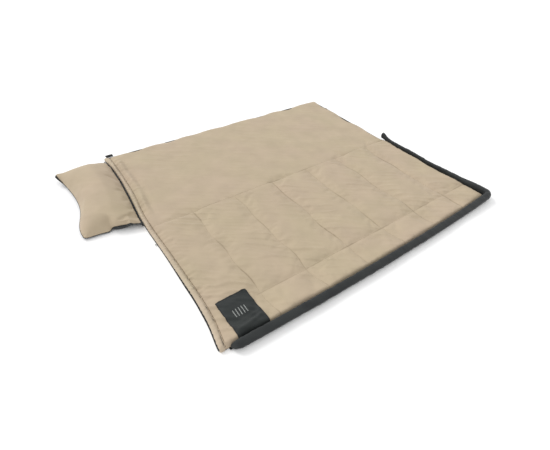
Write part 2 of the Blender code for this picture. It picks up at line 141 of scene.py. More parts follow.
# Look of the cloth, as linear colours
BEIGE = (0.420, 0.342, 0.240)
BEIGE_PINK = (0.436, 0.338, 0.254)
BEIGE_YELLOW = (0.412, 0.344, 0.228)
HEM_BEIGE = (0.470, 0.395, 0.292)
THREAD_BROWN = (0.115, 0.078, 0.042)
SLATE = (0.014, 0.016, 0.017)
SLATE_LIGHT = (0.023, 0.026, 0.026)
POCKET_DARK = (0.011, 0.014, 0.014)
POCKET_LIGHT = (0.018, 0.022, 0.021)
NEAR_BLACK = (0.009, 0.010, 0.011)
PALE_GREY = (0.34, 0.35, 0.34)
BRONZE = (0.20, 0.13, 0.08)
MOULDED_GRAIN = (1500.0, 3.0, 0.6)


# ---- fields over the quilt

def waves(x, y, seed, length, turn, spread, count=18):
    """A smooth random field of waves that run across the direction turn."""
    rng = np.random.default_rng(seed)
    total = np.zeros_like(x)
    for _ in range(count):
        heading = turn + rng.normal(0.0, spread)
        rate = 2 * math.pi / (length * rng.uniform(0.7, 1.5))
        total += np.sin(rate * (x * math.cos(heading) + y * math.sin(heading)) + rng.uniform(0, 2 * math.pi))
    return total / math.sqrt(count / 2)


def wave_along(value, seed, length, count=18):
    """A smooth random wave along one line."""
    return waves(value, value, seed, length, 0.0, 0.1, count)


def creases(x, y, seed, length, turn, spread, width):
    """Thin ridges where a field of waves passes through zero, broken up by a broad mask."""
    field = waves(x, y, seed, length, turn, spread)
    mask = np.clip(0.5 + 0.7 * waves(x, y, seed + 1, length * 4, turn, 1.2), 0.0, 1.0)
    return np.exp(-(field / width) ** 2) * mask


def near(value, centre, width):
    """A bump of height 1 at the centre."""
    return np.exp(-((value - centre) / width) ** 2)


def edge_shape(x):
    """How far the near edge bows out at X."""
    share = np.clip(x / COVER_FOOT, 0.0, 1.0)
    return EDGE_BOW * 4 * share * (1 - share)


def foot_at(y):
    """X of the foot edge at Y, with the base half a little shorter than the cover half."""
    step = np.clip((y + 0.03) / 0.06, 0.0, 1.0)
    step = step * step * (3 - 2 * step)
    wave = 0.004 * wave_along(y, 31, 0.30)
    return COVER_FOOT + (BASE_FOOT + 0.003 - COVER_FOOT) * step + 0.6 * wave * step


def far_at(x):
    """Y of the far edge at X."""
    return BASE_WIDTH + 0.001 + 0.002 * wave_along(x, 32, 0.28)


def soft_line(y, places, values):
    """A smooth line through the given values at the given places."""
    shifts = (-0.04, -0.02, 0.0, 0.02, 0.04)
    return np.mean([np.interp(y + shift, places, values) for shift in shifts], axis=0)


def hem_seam_at(y):
    """X of the seam between the head hem and the lining, which flares out at the near corner."""
    return soft_line(y, (-0.83, -0.80, -0.74, -0.68, -0.55, -0.30, 0.02, 0.12, 0.33, 0.53, 0.70, 0.82),
                     (-0.014, -0.005, 0.007, 0.016, 0.024, 0.024, 0.021, 0.024, 0.048, 0.056, 0.058, 0.054))


def hem_outer_at(y):
    """X of the head hem's outer edge."""
    return soft_line(y, (-0.83, -0.78, -0.70, -0.55, -0.20, 0.02, 0.12, 0.33, 0.53, 0.70, 0.82),
                     (-0.037, -0.028, -0.012, -0.001, 0.002, 0.000, 0.003, 0.023, 0.036, 0.034, 0.022))


def wander(x, y):
    """How far a cross seam strays from its straight line."""
    return 0.0035 * waves(x * 3, y, 35, 0.30, math.pi / 2, 0.5)


def spread_steps(marks, step):
    """Values from the first mark to the last, about a step apart, that include every mark."""
    values = [marks[0]]
    for low, high in zip(marks, marks[1:]):
        count = max(1, round((high - low) / step))
        values += [low + (high - low) * (k + 1) / count for k in range(count)]
    return np.array(values)


def quilt_plan(step):
    """Grid of X and Y over both halves, with a grid line along each seam."""
    columns = spread_steps((PLAN_HEAD, *CROSS_SEAMS, COVER_FOOT), step)
    rows = spread_steps((-COVER_WIDTH, BORDER_SEAM_Y, 0.0, BASE_WIDTH), step)
    x, y = np.meshgrid(columns, rows, indexing="ij")
    bow = edge_shape(x)
    y = np.where(y < BORDER_SEAM_Y,
                 BORDER_SEAM_Y - (BORDER_SEAM_Y - y) * (1 + bow / (BORDER_SEAM_Y + COVER_WIDTH)), y)
    y = np.where(y > 0, y * far_at(x) / BASE_WIDTH, y)
    first = hem_seam_at(y)
    last_seam = CROSS_SEAMS[-1]
    x = np.where(x < CROSS_SEAMS[0],
                 first + (x - PLAN_HEAD) * (CROSS_SEAMS[0] - first) / (CROSS_SEAMS[0] - PLAN_HEAD), x)
    x = np.where(x > last_seam,
                 last_seam + (x - last_seam) * (foot_at(y) - last_seam) / (COVER_FOOT - last_seam), x)
    inside = np.clip(np.minimum(x - 0.06, foot_at(y) - x) / 0.10, 0.0, 1.0)
    return round_corners(x + wander(x, y) * inside, y)


def from_near_edge(x, y):
    """Distance in from the near long edge."""
    return np.clip(y + COVER_WIDTH + edge_shape(x), 0, 2)


def edge_distances(x, y):
    """Distances in from the foot edge and from the nearer long edge."""
    side = np.where(y < 0, y + COVER_WIDTH + edge_shape(x), far_at(x) - y)
    return foot_at(y) - x, side


def round_corners(x, y):
    """Pull the grid's two foot corners in to quarter circles."""
    foot, side = edge_distances(x, y)
    radius = np.where(y < 0, NEAR_CORNER_RADIUS, FAR_CORNER_RADIUS)
    p = np.clip(1 - foot / radius, 0.0, 1.0)
    q = np.clip(1 - side / radius, 0.0, 1.0)
    pull_x = radius * (p - p * np.sqrt(1 - q * q / 2))
    pull_y = radius * (q - q * np.sqrt(1 - p * p / 2))
    return x - pull_x, y + np.where(y < 0, pull_y, -pull_y)


def rim_rise(x, y, width):
    """0 at the open edges, rising on a round shoulder to 1."""
    foot, side = edge_distances(x, y)
    inside = np.clip(np.minimum(foot, side) / width, 0.0, 1.0)
    return np.sqrt(1 - (1 - inside) ** 2)


def cover_share(y):
    """1 on the cover half and 0 on the base half, with a soft change at the fold."""
    return 1 / (1 + np.exp(np.clip(y / 0.015, -40, 40)))


def seam_depth(x, y):
    """How strongly a point is held down by stitching, from 0 to 1."""
    held = np.zeros_like(x)
    for seam in CROSS_SEAMS:
        held = np.maximum(held, near(x - wander(x, y), seam, 0.010) * cover_share(y))
    border = near(y, BORDER_SEAM_Y, 0.010) * np.clip((x - 0.22) / 0.05, 0, 1)
    return np.maximum(np.maximum(held, border), near(y, 0.0, 0.010) * fold_hold(x))


def fold_hold(x):
    """How tightly the fold is stitched at X: tight in three short stretches, loose between them."""
    tight = near(x, 0.25, 0.09) + near(x, 0.86, 0.09) + near(x, 1.39, 0.07)
    return np.clip(0.35 + 0.65 * tight, 0, 1)


# ---- meshes

def add_object(name, data, *materials):
    """Link a mesh, curve, lamp or camera as an object with its materials."""
    item = bpy.data.objects.new(name, data)
    for material in materials:
        data.materials.append(material)
    bpy.context.scene.collection.objects.link(item)
    return item


def add_grid(name, points, *materials):
    """An object from an array of points (columns, rows, 3), with UVs in metres."""
    columns, rows = points.shape[:2]
    mesh = bpy.data.meshes.new(name)
    index = np.arange(columns * rows).reshape(columns, rows)
    faces = np.stack((index[:-1, :-1], index[1:, :-1], index[1:, 1:], index[:-1, 1:]), axis=-1)
    mesh.from_pydata(points.reshape(-1, 3).tolist(), [], faces.reshape(-1, 4).tolist())
    layer = mesh.uv_layers.new(name="UVMap")
    flat = points.reshape(-1, 3)[:, :2]
    loops = np.array([loop.vertex_index for loop in mesh.loops])
    layer.data.foreach_set("uv", flat[loops].astype(np.float32).ravel())
    mesh.polygons.foreach_set("use_smooth", [True] * len(mesh.polygons))
    return add_object(name, mesh, *materials)


def world_points(x, y, z):
    """Stack X, Y and Z into points in the part's frame."""
    return np.stack((x + HEAD_X, y + FOLD_Y, z), axis=-1)


def bake_modifiers(item):
    """Replace an object's mesh with what its modifiers make of it."""
    bpy.context.view_layer.update()
    graph = bpy.context.evaluated_depsgraph_get()
    baked = bpy.data.meshes.new_from_object(item.evaluated_get(graph), depsgraph=graph)
    item.modifiers.clear()
    item.data = baked


def thicken(item, thickness, offset):
    """Give a sheet a thickness."""
    body = item.modifiers.new("body", "SOLIDIFY")
    body.thickness = thickness
    body.offset = offset


def subdivide(item):
    """Apply one level of subdivision surface."""
    item.modifiers.new("surface", "SUBSURF").levels = 1
    bake_modifiers(item)


def cord_curve(name, points, radius):
    """A closed round cord through some points."""
    curve = bpy.data.curves.new(name, "CURVE")
    curve.dimensions = "3D"
    curve.bevel_depth = radius
    curve.bevel_resolution = 2
    spline = curve.splines.new("POLY")
    spline.points.add(len(points) - 1)
    spline.use_cyclic_u = True
    for point, spot in zip(spline.points, points):
        point.co = (*spot, 1.0)
    return curve


def squared_off(value, power):
    """A sine or cosine raised to a power with its sign kept."""
    return math.copysign(abs(value) ** power, value)


def height_at(surface, x, y, other):
    """Height of a surface at X and Y, or another value where it has none."""
    hit = surface.ray_cast(Vector((x, y, RAY_HEIGHT)), DOWN)[0]
    return hit.z if hit is not None else other


def get_points(item):
    """Vertex positions as an array."""
    flat = np.empty(len(item.data.vertices) * 3)
    item.data.vertices.foreach_get("co", flat)
    return flat.reshape(-1, 3)


def set_points(item, points):
    """Write vertex positions back."""
    item.data.vertices.foreach_set("co", points.ravel())
    item.data.update()


def inflate(item, pins, pressure, slack, frames, cap):
    """Run a short cloth simulation and keep its shape, with no point moved further than the cap."""
    before = get_points(item)
    group = item.vertex_groups.new(name="held")
    group.add([int(k) for k in pins], 1.0, "REPLACE")
    cloth = item.modifiers.new("cloth", "CLOTH")
    for key, value in {"quality": 4, "mass": 0.2, "tension_stiffness": 20, "compression_stiffness": 20,
                       "shear_stiffness": 8, "bending_stiffness": 0.4, "vertex_group_mass": "held",
                       "use_pressure": True, "uniform_pressure_force": pressure,
                       "shrink_min": -slack}.items():
        setattr(cloth.settings, key, value)
    cloth.settings.effector_weights.gravity = 0.0
    cloth.collision_settings.use_collision = False
    cloth.collision_settings.use_self_collision = False
    cloth.point_cache.frame_start = 1
    cloth.point_cache.frame_end = frames
    scene = bpy.context.scene
    for step in range(1, frames + 1):
        scene.frame_set(step)
    bake_modifiers(item)
    scene.frame_set(1)
    item.vertex_groups.clear()
    moved = get_points(item) - before
    length = np.linalg.norm(moved, axis=1, keepdims=True)
    set_points(item, before + moved * np.minimum(1.0, cap / np.maximum(length, 1e-9)))


def add_tube(name, rings, material):
    """A tube through rings of points, capped with a fan at each end."""
    shape = bmesh.new()
    rows = [[shape.verts.new(point) for point in ring] for ring in rings]
    count = len(rows[0])
    for low, high in zip(rows, rows[1:]):
        for k in range(count):
            shape.faces.new((low[k], high[k], high[(k + 1) % count], low[(k + 1) % count]))
    for row in (rows[0], rows[-1]):
        centre = shape.verts.new(sum((v.co for v in row), Vector()) / count)
        for k in range(count):
            shape.faces.new((row[k], row[(k + 1) % count], centre))
    bmesh.ops.recalc_face_normals(shape, faces=shape.faces)
    layer = shape.loops.layers.uv.new("UVMap")
    for face in shape.faces:
        face.smooth = True
        for loop in face.loops:
            loop[layer].uv = (loop.vert.co.x + loop.vert.co.z, loop.vert.co.y + loop.vert.co.z)
    mesh = bpy.data.meshes.new(name)
    shape.to_mesh(mesh)
    shape.free()
    return add_object(name, mesh, material)


# ---- materials

class Nodes:
    """Short helpers for one material's node tree."""

    def __init__(self, name, roughness, metallic=0.0, sheen=0.0):
        self.material = bpy.data.materials.new(name)
        self.material.use_nodes = True
        self.tree = self.material.node_tree
        self.shader = self.tree.nodes["Principled BSDF"]
        self.shader.inputs["Roughness"].default_value = roughness
        self.shader.inputs["Metallic"].default_value = metallic
        self.shader.inputs["Sheen Weight"].default_value = sheen
        self.shader.inputs["Sheen Roughness"].default_value = 0.5
        self.shader.inputs["Specular IOR Level"].default_value = 0.3

    def add(self, kind, **values):
        """Add a node and set its sockets and properties by name."""
        node = self.tree.nodes.new(kind)
        for key, value in values.items():
            if key in node.inputs:
                node.inputs[key].default_value = value
            else:
                setattr(node, key, value)
        return node

    def link(self, output, socket):
        """Join an output to an input."""
        self.tree.links.new(output, socket)

    def place(self, source):
        """Texture coordinates: UV in metres, or the object's own."""
        return self.add("ShaderNodeTexCoord").outputs[source]

    def noise(self, place, scale, detail=3.0, roughness=0.5, stretch=(1, 1, 1), turn=0.0):
        """A noise texture over stretched and turned coordinates."""
        mapping = self.add("ShaderNodeMapping", vector_type="TEXTURE")
        mapping.inputs["Scale"].default_value = stretch
        mapping.inputs["Rotation"].default_value = (0, 0, turn)
        self.link(place, mapping.inputs["Vector"])
        node = self.add("ShaderNodeTexNoise", Scale=scale, Detail=detail, Roughness=roughness)
        self.link(mapping.outputs["Vector"], node.inputs["Vector"])
        return node.outputs["Fac"]

    def ramp(self, value, low, high, low_colour, high_colour):
        """A two-stop colour ramp."""
        node = self.add("ShaderNodeValToRGB")
        node.color_ramp.elements[0].position = low
        node.color_ramp.elements[0].color = (*low_colour, 1)
        node.color_ramp.elements[1].position = high
        node.color_ramp.elements[1].color = (*high_colour, 1)
        self.link(value, node.inputs["Fac"])
        return node.outputs["Color"]

    def mix(self, factor, first, second, blend="MIX"):
        """Mix two colours, each an output or a fixed colour."""
        node = self.add("ShaderNodeMix", data_type="RGBA", blend_type=blend)
        for value, socket in ((factor, node.inputs[0]), (first, node.inputs[6]), (second, node.inputs[7])):
            if isinstance(value, bpy.types.NodeSocket):
                self.link(value, socket)
            elif isinstance(value, tuple):
                socket.default_value = (*value, 1)
            else:
                socket.default_value = value
        return node.outputs[2]

    def weave(self, place, threads_per_metre):
        """Two crossed sets of threads."""
        bands = []
        for axis in ("X", "Y"):
            node = self.add("ShaderNodeTexWave", wave_type="BANDS", bands_direction=axis,
                            Scale=threads_per_metre / 20.0, Distortion=0.6, Detail=1.0)
            self.link(place, node.inputs["Vector"])
            bands.append(node.outputs["Fac"])
        both = self.add("ShaderNodeMath", operation="MULTIPLY")
        self.link(bands[0], both.inputs[0])
        self.link(bands[1], both.inputs[1])
        return both.outputs["Value"]

    def bump(self, layers):
        """Chain bump nodes from (height output, strength, distance) and feed the shader."""
        normal = None
        for height, strength, distance in layers:
            node = self.add("ShaderNodeBump", Strength=strength, Distance=distance)
            self.link(height, node.inputs["Height"])
            if normal is not None:
                self.link(normal, node.inputs["Normal"])
            normal = node.outputs["Normal"]
        self.link(normal, self.shader.inputs["Normal"])

    def colour(self, output):
        """Feed the base colour."""
        self.link(output, self.shader.inputs["Base Color"])
        return self.material


def lining_material(name, beige):
    """Brushed beige polyester with faint pink and yellow drift, darkened along its seams by thread colour and
    painted shade.
    """
    n = Nodes(name, 0.85, sheen=0.08)
    place = n.place("UV")
    drift = n.noise(place, 3.2, 2.0)
    patches = n.noise(place, 9.0, 3.0)
    base = n.ramp(drift, 0.35, 0.65, BEIGE_YELLOW, BEIGE_PINK)
    base = n.mix(0.60, base, beige)
    shade = n.ramp(patches, 0.30, 0.72, (0.93, 0.93, 0.93), (1.04, 1.04, 1.04))
    base = n.mix(1.0, base, shade, "MULTIPLY")
    # Seam mark: thread colour plus painted shade in the grooves along each seam
    thread_and_shade_node = n.add("ShaderNodeAttribute", attribute_name="stitched")
    base = n.mix(thread_and_shade_node.outputs["Fac"], base, THREAD_BROWN)
    nap = n.noise(place, 900.0, 4.0, 0.7)
    ripple = n.noise(place, 24.0, 3.0, 0.45, (5.0, 1.0, 1.0), math.radians(-38))
    n.bump([(ripple, 0.45, 0.006), (n.weave(place, 900.0), 0.12, 0.0006), (nap, 0.10, 0.0006)])
    return n.colour(base)


def slate_material(name, dark=SLATE, light=SLATE_LIGHT, ripple_scale=30.0):
    """Dark slate plain-weave polyester."""
    n = Nodes(name, 0.66, sheen=0.08)
    place = n.place("UV")
    drift = n.noise(place, 14.0, 4.0)
    base = n.ramp(drift, 0.30, 0.70, dark, light)
    wear = n.noise(place, 260.0, 3.0, 0.6)
    base = n.mix(1.0, base, n.ramp(wear, 0.35, 0.75, (0.90, 0.90, 0.90), (1.15, 1.15, 1.15)), "MULTIPLY")
    ripple = n.noise(place, ripple_scale, 3.0, 0.5)
    n.bump([(ripple, 0.25, 0.004), (n.weave(place, 1100.0), 0.18, 0.0005)])
    return n.colour(base)


def ribbed_material(name, colour, ribs_per_metre=700.0, roughness=0.75):
    """Woven tape with fine ribs."""
    n = Nodes(name, roughness)
    place = n.place("Object")
    rib = n.add("ShaderNodeTexWave", wave_type="BANDS", bands_direction="DIAGONAL",
                Scale=ribs_per_metre / 20.0, Distortion=0.4, Detail=1.0)
    n.link(place, rib.inputs["Vector"])
    fleck = n.noise(place, 320.0, 3.0, 0.6)
    lighter = tuple(min(1.0, 1.6 * part) for part in colour)
    base = n.ramp(fleck, 0.35, 0.75, colour, lighter)
    n.bump([(rib.outputs["Fac"], 0.45, 0.0006), (fleck, 0.2, 0.0005)])
    return n.colour(base)


def metal_material(name, colour):
    """Aged plating, rougher and darker in patches."""
    n = Nodes(name, 0.35, metallic=1.0)
    place = n.place("Object")
    worn = n.noise(place, 420.0, 5.0, 0.65)
    rough = n.add("ShaderNodeMapRange")
    rough.inputs["To Min"].default_value = 0.25
    rough.inputs["To Max"].default_value = 0.55
    n.link(worn, rough.inputs["Value"])
    n.link(rough.outputs["Result"], n.shader.inputs["Roughness"])
    darker = tuple(0.55 * part for part in colour)
    n.bump([(worn, 0.15, 0.0003)])
    return n.colour(n.ramp(worn, 0.35, 0.65, darker, colour))


def grained_material(name, colour, roughness, grain, lighter, relief, sheen=0.0, ridges=0.0):
    """Plastic, zip coil or thread: a fine grain, lighter in places, over any moulded ridges."""
    n = Nodes(name, roughness, sheen=sheen)
    place = n.place("Object")
    fleck = n.noise(place, *grain)
    layers = [(n.weave(place, ridges), 0.9, 0.0010)] if ridges else []
    n.bump([*layers, (fleck, *relief)])
    return n.colour(n.ramp(fleck, 0.3, 0.7, colour, tuple(lighter * part for part in colour)))


def thread_material(name, colour):
    """Twisted sewing thread."""
    return grained_material(name, colour, 0.7, (1800.0, 2.0), 1.5, (0.3, 0.0003), sheen=0.2)


def wadding_material():
    """White hollow-fibre wadding."""
    n = Nodes("wadding_white", 0.95, sheen=0.3)
    place = n.place("UV")
    fibre = n.noise(place, 240.0, 6.0, 0.75)
    n.bump([(fibre, 0.8, 0.002)])
    return n.colour(n.ramp(fibre, 0.3, 0.7, (0.66, 0.66, 0.64), (0.86, 0.86, 0.84)))


LINING = lining_material("lining_brushed_beige", BEIGE)
HEM_CLOTH = lining_material("hem_brushed_beige", HEM_BEIGE)
SHELL = slate_material("shell_slate")
TUBE_CLOTH = slate_material("draft_tube_slate", ripple_scale=22.0)
POCKET_CLOTH = slate_material("pocket_slate", POCKET_DARK, POCKET_LIGHT, 26.0)
WADDING = wadding_material()
TAPE = ribbed_material("zip_tape_black", NEAR_BLACK)
WELT = ribbed_material("welt_dark", (0.010, 0.012, 0.015), 500.0)
RIBBON = ribbed_material("ribbon_pale_grey", PALE_GREY, 500.0)
COIL = grained_material("zip_coil_dark", (0.018, 0.020, 0.022), 0.55, MOULDED_GRAIN, 1.6, (0.2, 0.0002),
                        ridges=340.0)
BOX_PLASTIC = grained_material("zip_box_dark", (0.016, 0.017, 0.019), 0.45, MOULDED_GRAIN, 1.4, (0.2, 0.0002))
METAL = metal_material("zip_bronze", BRONZE)
THREAD = thread_material("thread_brown", THREAD_BROWN)
DARK_THREAD = thread_material("thread_dark", (0.022, 0.026, 0.028))
PALE_THREAD = thread_material("thread_pale", (0.30, 0.31, 0.30))


# ---- the quilt

def lining_rest(x, y):
    """Height of the lining before it is puffed up: low along its seams and edges."""
    top = SEAM_TOP + (LOFT - LINING_DROP - SEAM_TOP) * rim_rise(x, y, SHOULDER)
    held = seam_depth(x, y)
    hem = near(x, hem_seam_at(y), 0.010)
    towards_tube = (0.0110 * near(from_near_edge(x, y), 0.0, 0.055) * rim_rise(x, y, SHOULDER)
                    * np.clip((1.85 - x) / 0.3, 0, 1))
    return top - 0.0045 * held - 0.004 * hem + towards_tube


def lining_detail(x, y):
    """Fine relief added after the simulation: gathers, puckers and soft creases."""
    cover = cover_share(y)
    slant = math.radians(52)
    hem_in = np.clip(x - hem_seam_at(y), 0, 2)
    gathers = waves(x * 0.25, y, 41, 0.030, math.pi / 2, 0.25) * np.exp(-hem_in / 0.030)
    folds = creases(x, y, 43, 0.105, slant, 0.11, 0.34)
    fine = creases(x, y, 47, 0.062, slant, 0.14, 0.36)
    swell = waves(x, y, 49, 0.30, slant, 0.7)
    tucks = waves(x, y * 0.3, 53, 0.034, 0.25, 0.25) * np.exp(-from_near_edge(x, y) / 0.022) * cover
    fold_tucks = waves(x, y * 0.3, 59, 0.040, 0.9, 0.3) * np.exp(-np.abs(y) / 0.020)
    head_line = 0.030 + 0.005 * wave_along(y, 61, 0.5, 6)
    along = np.clip((0.80 - y) / 0.1, 0, 1) * np.clip((y - 0.05) / 0.15, 0, 1)
    head_ridge = (near(hem_in, head_line, 0.017) - 0.7 * near(hem_in, head_line + 0.030, 0.015)) * along
    busy = 0.55 + 0.45 * np.exp(-hem_in / 0.35)
    strength = busy * (0.45 + 0.75 * cover)
    relief = 0.0013 * gathers + 0.0048 * folds * strength + 0.0028 * fine * strength + 0.0010 * swell
    relief = relief + 0.0011 * tucks + 0.0010 * fold_tucks + 0.0090 * head_ridge
    return relief * np.clip(rim_rise(x, y, 0.05), 0, 1)


def make_lining():
    """The beige lining over both halves, held down at its seams and puffed up between them."""
    x, y = quilt_plan(CELL)
    item = add_grid("quilt_lining", world_points(x, y, lining_rest(x, y)), LINING)
    foot, side = edge_distances(x, y)
    held = seam_depth(x, y) > 0.93
    held |= np.minimum(foot, side) < 0.004
    held |= (x - hem_seam_at(y)) < 0.004
    inflate(item, np.flatnonzero(held.ravel()), 0.8, 0.012, 16, 0.007)
    subdivide(item)
    points = get_points(item)
    x, y = points[:, 0] - HEAD_X, points[:, 1] - FOLD_Y
    points[:, 2] += lining_detail(x, y)
    foot, side = edge_distances(x, y)
    bulge = EDGE_BULGE * np.sin(math.pi * np.clip((points[:, 2] - SEAM_TOP) / (LOFT - SEAM_TOP), 0, 1))
    points[:, 0] += bulge * (foot < SHOULDER) * (y > 0)
    points[:, 1] += bulge * (side < SHOULDER) * (y > 0)
    set_points(item, points)
    paint_seams(item, x, y)
    fold_over(item)
    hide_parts("base_lining", "cover_lining")
    return item


def paint_seams(item, x, y):
    """Mark the seam lines with thread colour and painted shade, which darken them here and there."""
    marks = np.zeros_like(x)
    for k, seam in enumerate(CROSS_SEAMS):
        faint = np.clip(0.12 + 0.30 * wave_along(y, 70 + k, 0.35, 8), 0.0, 0.45)
        marks = np.maximum(marks, near(x - wander(x, y), seam, 0.0026) * cover_share(y + 0.01) * faint)
    faint = np.clip(0.10 + 0.26 * wave_along(x, 81, 0.30, 8), 0.0, 0.40)
    marks = np.maximum(marks, near(y, BORDER_SEAM_Y, 0.0026) * faint * (x > 0.24))
    marks = np.maximum(marks, near(y, 0.0, 0.0026) * faint)
    # The mark is thread colour plus painted shade along each seam
    attribute = item.data.attributes.new("stitched", "FLOAT", "POINT")
    attribute.data.foreach_set("value", marks.astype(np.float32))


def fold_over(item):
    """Bake a piece's placement into its mesh."""
    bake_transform(item)


def make_shell():
    """The dark shell under both halves, flat on the floor and shallow along its seams."""
    x, y = quilt_plan(2 * CELL)
    rise = rim_rise(x, y, 0.022)
    held = seam_depth(x, y)
    low = (SEAM_TOP - 0.002) * (1 - rise) + 0.0035 * held * rise
    low = low + 0.0012 * creases(x, y, 91, 0.10, 1.1, 0.3, 0.25) * rise
    peek = 0.001 + 0.003 * np.clip((-0.25 - y) / 0.2, 0, 1)
    inset = x - hem_seam_at(y)
    first = hem_outer_at(y) - peek
    x = np.where(inset < HEM_LAP, first + inset * (hem_seam_at(y) + HEM_LAP - first) / HEM_LAP, x)
    item = add_grid("quilt_shell", world_points(x, y, low)[::-1], SHELL)
    subdivide(item)
    fold_over(item)
    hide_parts("base_shell", "cover_shell")


def make_padding():
    """The wadding between shell and lining, a little inside them all round."""
    x, y = quilt_plan(4 * CELL)
    x = PADDING_MIDDLE_X + (x - PADDING_MIDDLE_X) * PADDING_SHARE
    y = y * PADDING_SHARE
    top = 0.0085 + 0.004 * rim_rise(x, y, 0.08) - 0.003 * seam_depth(x, y)
    item = add_grid("quilt_padding", world_points(x, y, top), WADDING)
    thicken(item, float((top - PADDING_BOTTOM).min()), -1.0)
    bake_modifiers(item)
    fold_over(item)
    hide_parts("base_fill", "cover_fill")


def make_hem():
    """The rolled head hem across both halves, gathered along its seam."""
    count = 14
    ys = spread_steps((-COVER_WIDTH - HEM_PAST_NEAR, 0.0, BASE_WIDTH + HEM_PAST_FAR), 0.006)
    rings = []
    for y in ys:
        outer = float(hem_outer_at(y))
        inner = float(hem_seam_at(y)) + 0.002
        end = min((y + COVER_WIDTH + HEM_PAST_NEAR) / 0.020, (BASE_WIDTH + HEM_PAST_FAR - y) / 0.008, 1.0)
        thick = 0.35 + 0.65 * math.sqrt(max(0.0, end))
        pucker = float(wave_along(y, 101, 0.020))
        slow = float(wave_along(y, 103, 0.14))
        half = (inner - outer) / 2
        centre_x = (inner + outer) / 2
        loose = min(1.0, max(0.0, (0.76 - y) / 0.04))
        height = (LOFT - 0.002 * (1 - loose) + (0.0016 * pucker + 0.0015 * slow) * loose) * thick
        ring = []
        for k in range(count):
            turn = 2 * math.pi * k / count
            side = math.cos(turn)
            px = centre_x + half * squared_off(side, 0.75)
            px += 0.0012 * pucker * (side < -0.2)
            pz = HEM_FLOOR + height * (0.5 + 0.5 * squared_off(math.sin(turn), 0.8))
            if side > 0.3:
                pz = min(pz, LOFT - LINING_DROP - 0.003 * side)
            ring.append((HEAD_X + px, FOLD_Y + y, max(HEM_FLOOR, pz)))
        rings.append(ring)
    item = add_tube("head_hem", rings, HEM_CLOTH)
    subdivide(item)
    fold_over(item)
    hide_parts("base_head_hem", "cover_head_hem")
    return item


def make_hem_cord(lining, hem):
    """The thin brown line of thread where the hem meets the lining."""
    surface = surface_of(lining, hem)
    ys = np.arange(-COVER_WIDTH + 0.004, BASE_WIDTH - 0.010, 0.008)
    rings = []
    for y in ys:
        x = float(hem_seam_at(y)) + 0.0035
        height = height_at(surface, HEAD_X + x, FOLD_Y + y, LOFT)
        size = 0.0011 + 0.0003 * float(wave_along(y, 107, 0.02))
        rings.append([(HEAD_X + x + size * math.cos(turn), FOLD_Y + y, height + size * math.sin(turn))
                      for turn in np.linspace(0, 2 * math.pi, 9)[:-1]])
    item = add_tube("hem_seam_cord", rings, THREAD)
    fold_over(item)


def stitch_row(surface, path, pitch):
    """Small rounded stitches along a path of (X, Y) points, laid on a surface."""
    spots = []
    for (x0, y0), (x1, y1) in zip(path, path[1:]):
        run = math.hypot(x1 - x0, y1 - y0)
        heading = Vector((x1 - x0, y1 - y0, 0.0)).normalized()
        count = max(1, int(run / pitch))
        for k in range(count):
            share = (k + 0.5) / count
            start = Vector((HEAD_X + x0 + (x1 - x0) * share, FOLD_Y + y0 + (y1 - y0) * share, RAY_HEIGHT))
            hit, normal, _, _ = surface.ray_cast(start, DOWN)
            if hit is not None:
                spots.append((hit, normal, heading))
    verts, faces = [], []
    for hit, normal, heading in spots:
        along = (heading - normal * heading.dot(normal)).normalized() * (STITCH_LENGTH / 2)
        across = normal.cross(along).normalized() * STITCH_RADIUS
        up = normal * STITCH_RADIUS
        base = len(verts)
        verts += [hit - along, hit + along, hit + across + up * 0.2, hit - across + up * 0.2, hit + up * 1.3]
        faces += [(base, base + 3, base + 4), (base + 3, base + 1, base + 4),
                  (base + 1, base + 2, base + 4), (base + 2, base, base + 4)]
    return verts, faces


def make_stitches(name, surface, paths, material, place, pitch=STITCH_PITCH):
    """One object for several rows of stitches."""
    verts, faces = [], []
    for path in paths:
        more, sides = stitch_row(surface, path, pitch)
        faces += [tuple(index + len(verts) for index in side) for side in sides]
        verts += more
    mesh = bpy.data.meshes.new(name)
    mesh.from_pydata([tuple(v) for v in verts], [], faces)
    item = add_object(name, mesh, material)
    place(item)
    return item


def surface_of(*items):
    """A search tree over some objects' meshes."""
    verts, faces = [], []
    for item in items:
        start = len(verts)
        verts += [item.matrix_world @ v.co for v in item.data.vertices]
        faces += [[start + index for index in face.vertices] for face in item.data.polygons]
    return BVHTree.FromPolygons(verts, faces)


def quilt_stitches(lining):
    """Thread along every quilting seam and the hem."""
    surface = surface_of(lining)
    ys = np.linspace(-0.004, -COVER_WIDTH, 40)
    hem_ys = np.linspace(-COVER_WIDTH + 0.02, BASE_WIDTH - 0.02, 40)
    paths = [[(float(x), 0.0) for x in np.linspace(0.05, 1.84, 40)],
             [(float(x), BORDER_SEAM_Y) for x in np.linspace(0.24, 1.85, 30)]]
    for seam in CROSS_SEAMS:
        paths.append([(seam + float(wander(seam, y)), float(y)) for y in ys])
    paths.append([(float(hem_seam_at(y)) + 0.0045, float(y)) for y in hem_ys])
    item = make_stitches("quilt_stitching", surface, paths, THREAD, fold_over)


# ---- draft tube

def tube_route():
    """The line along the tube's inner side: down the near edge, round the corner, up the foot."""
    near_y = -(COVER_WIDTH + TUBE_GAP)
    foot_x = COVER_FOOT + TUBE_GAP
    radius = NEAR_CORNER_RADIUS
    xs = np.linspace(TUBE_START - TUBE_HEAD_REACH, foot_x - radius, TUBE_STRAIGHT_SPOTS)
    spots = [(x, near_y - float(edge_shape(x))) for x in xs]
    for turn in np.linspace(-90, 0, TUBE_CORNER_SPOTS)[1:]:
        angle = math.radians(turn)
        spots.append((foot_x - radius + radius * math.cos(angle), near_y + radius + radius * math.sin(angle)))
    spots += [(foot_x, y) for y in np.linspace(near_y + radius, TUBE_PAST_FOLD, 100)[1:]]
    return np.array(spots)


